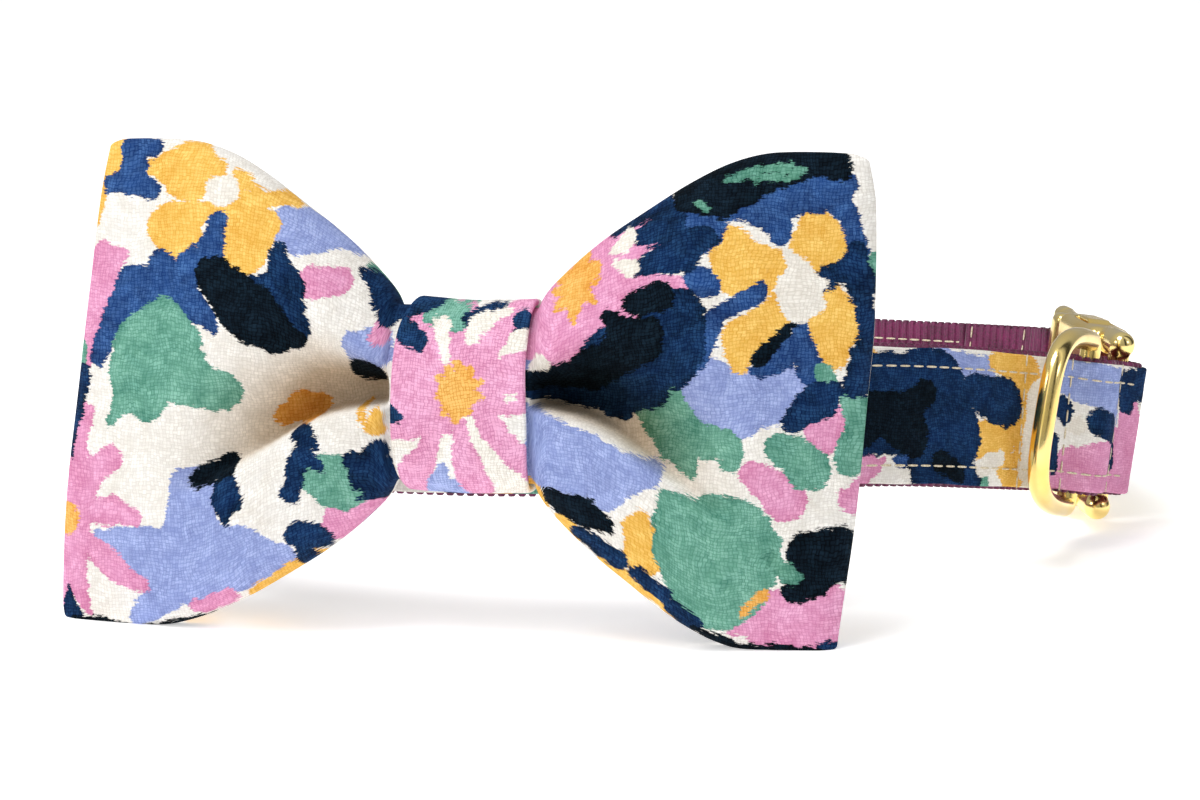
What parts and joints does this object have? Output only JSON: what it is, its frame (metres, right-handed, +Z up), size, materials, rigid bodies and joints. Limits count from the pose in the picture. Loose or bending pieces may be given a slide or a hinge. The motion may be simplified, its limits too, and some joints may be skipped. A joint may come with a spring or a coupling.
{
  "type": "pet bow tie collar",
  "caption": "Pet collar: a buckled webbing loop under a printed cotton strip, with a padded bow tie at the front and a swinging lead ring.",
  "frame": {"origin": "middle of the bounding box, on the surface that the collar stands on", "axes": "+Z up, the bow faces -Y, the buckle is on the +X side"},
  "size_m": [0.2066, 0.1982, 0.0843],
  "materials": {
    "webbing": "ribbed magenta nylon webbing",
    "printed_cotton": "plain weave cotton with a brushed floral print on cream",
    "gold_metal": "polished gold plating"
  },
  "bodies": {
    "collar": {"strap_webbing": "webbing", "strap_print_strip": "printed_cotton", "buckle_socket": "gold_metal", "buckle_plug": "gold_metal", "bow": "printed_cotton", "bow_centre_wrap": "printed_cotton"},
    "lead_ring": {"d_ring": "gold_metal"}
  },
  "joints": [
    {"name": "ring_swing", "type": "hinge", "parent": "collar", "child": "lead_ring", "pos_m": [0.0907, -0.00446, 0.02377], "axis": [0.1274, 0.2192, 0.9673], "range_deg": [-3, 130]}
  ]
}
